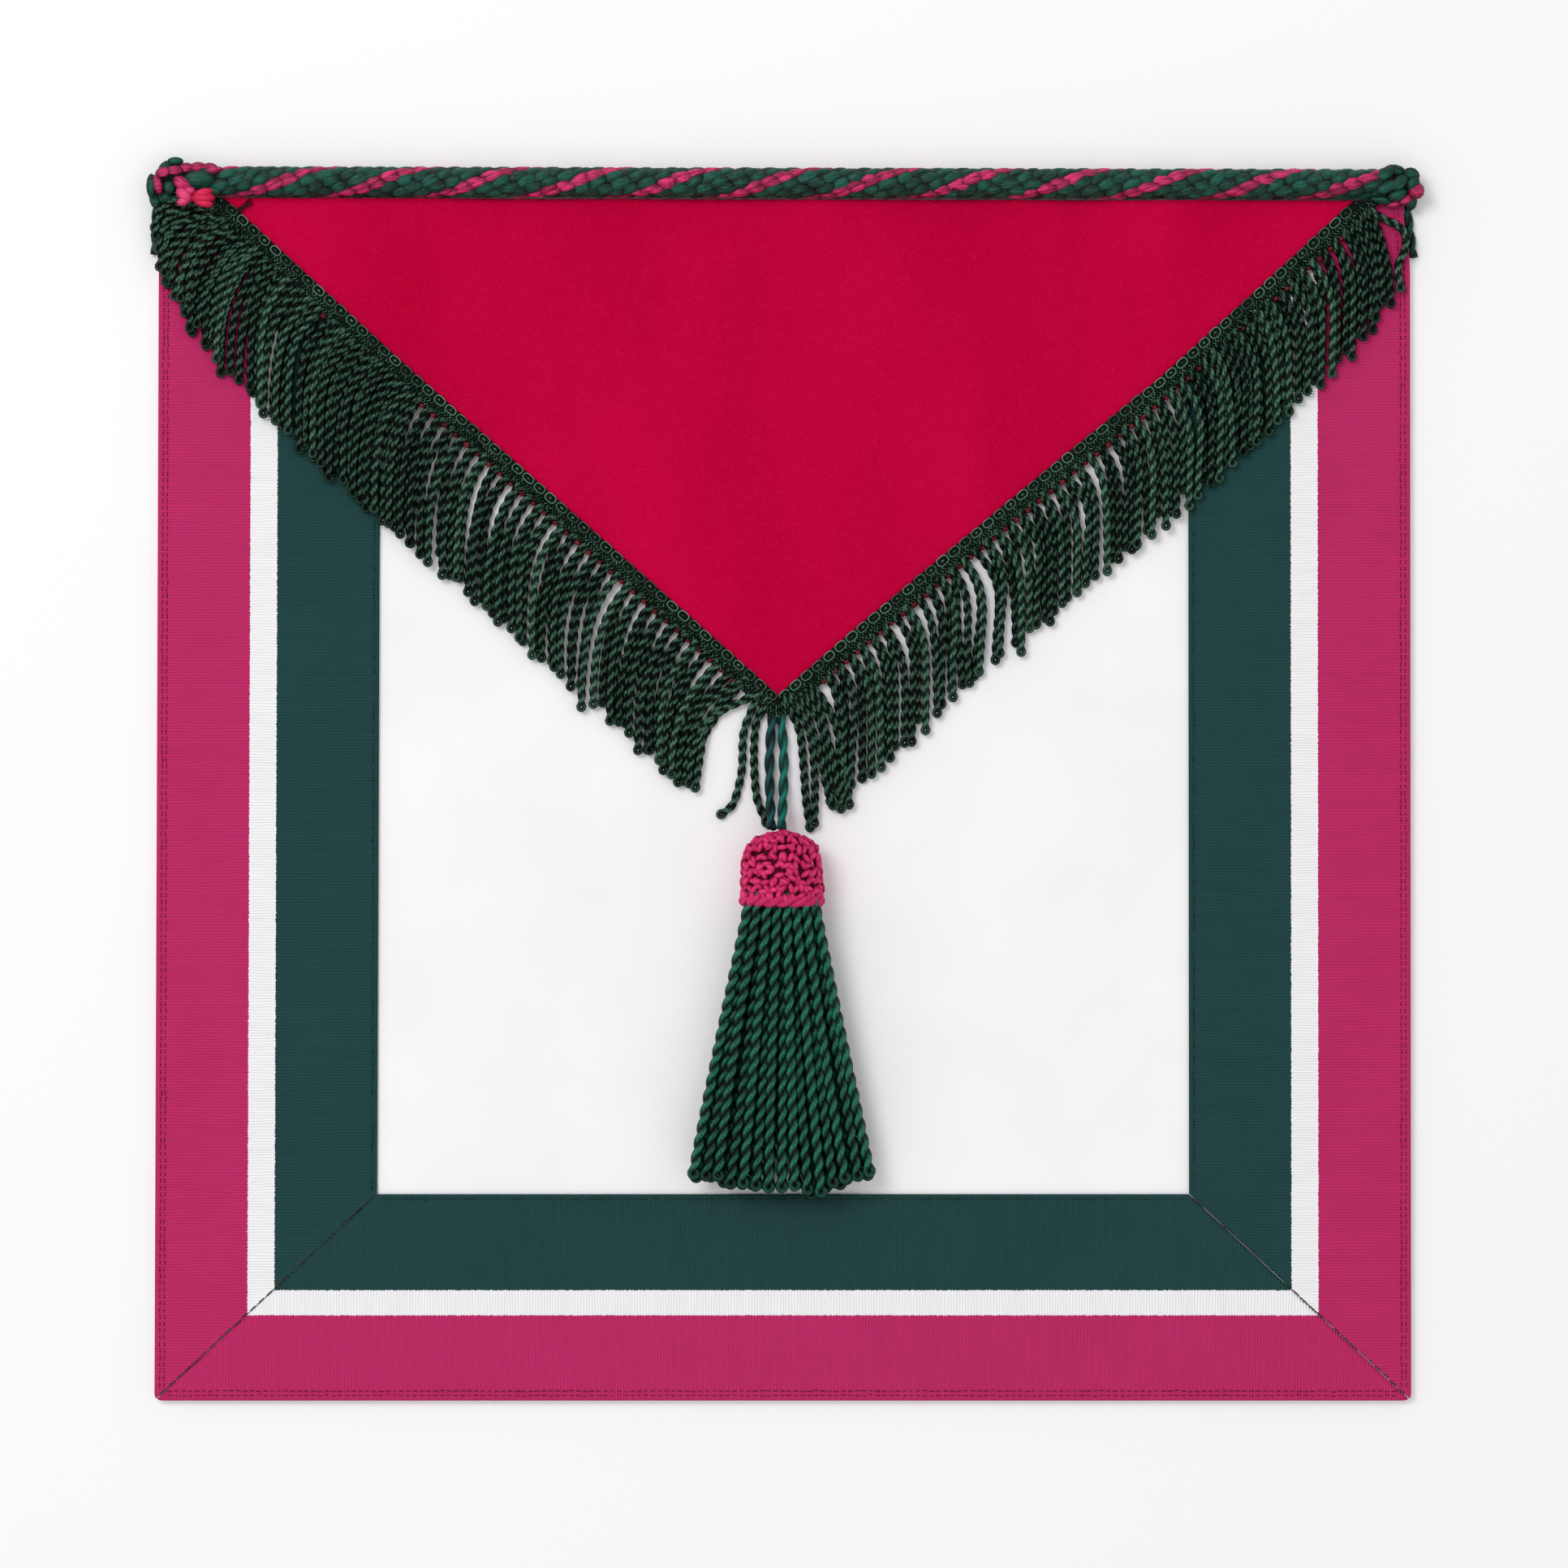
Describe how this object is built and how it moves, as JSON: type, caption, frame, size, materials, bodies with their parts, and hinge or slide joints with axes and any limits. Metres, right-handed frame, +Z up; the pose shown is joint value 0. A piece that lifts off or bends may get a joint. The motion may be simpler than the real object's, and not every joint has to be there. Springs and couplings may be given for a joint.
{
  "type": "masonic apron",
  "caption": "Square ceremonial apron lying flat, with a striped ribbon border, a pointed fringed flap, a braided cord along the top edge and a hanging tassel.",
  "frame": {"origin": "centre of the panel's flat back, on the surface that the apron lies on", "axes": "+Z up out of the apron's face, +Y towards the top edge with the cord, +X to the viewer's right"},
  "size_m": [0.4108, 0.3992, 0.0213],
  "materials": {
    "white_cloth": "smooth matt white cloth",
    "striped_ribbon": "ribbed grosgrain ribbon, magenta outside, a white stripe, dark green inside",
    "red_cloth": "smooth crimson satin-backed cloth with a faint crepe grain",
    "fringe_thread": "dark green twisted rayon with a soft lustre",
    "green_cord": "glossy dark green braided rayon",
    "pink_cord": "glossy magenta braided rayon",
    "tassel_thread": "bottle green twisted rayon with a soft lustre",
    "cap_crochet": "crocheted magenta cotton"
  },
  "bodies": {
    "root": {"apron_body": "white_cloth", "ribbon_left": "striped_ribbon", "ribbon_right": "striped_ribbon", "ribbon_bottom": "striped_ribbon", "flap": "red_cloth", "fringe_left": "fringe_thread", "fringe_right": "fringe_thread", "waist_cord": "green_cord", "waist_cord_stripe_a": "pink_cord", "waist_cord_stripe_b": "pink_cord", "corner_knot": "pink_cord", "tassel_hanger": "tassel_thread", "tassel_cap": "cap_crochet", "tassel_skirt": "tassel_thread"}
  },
  "joints": []
}
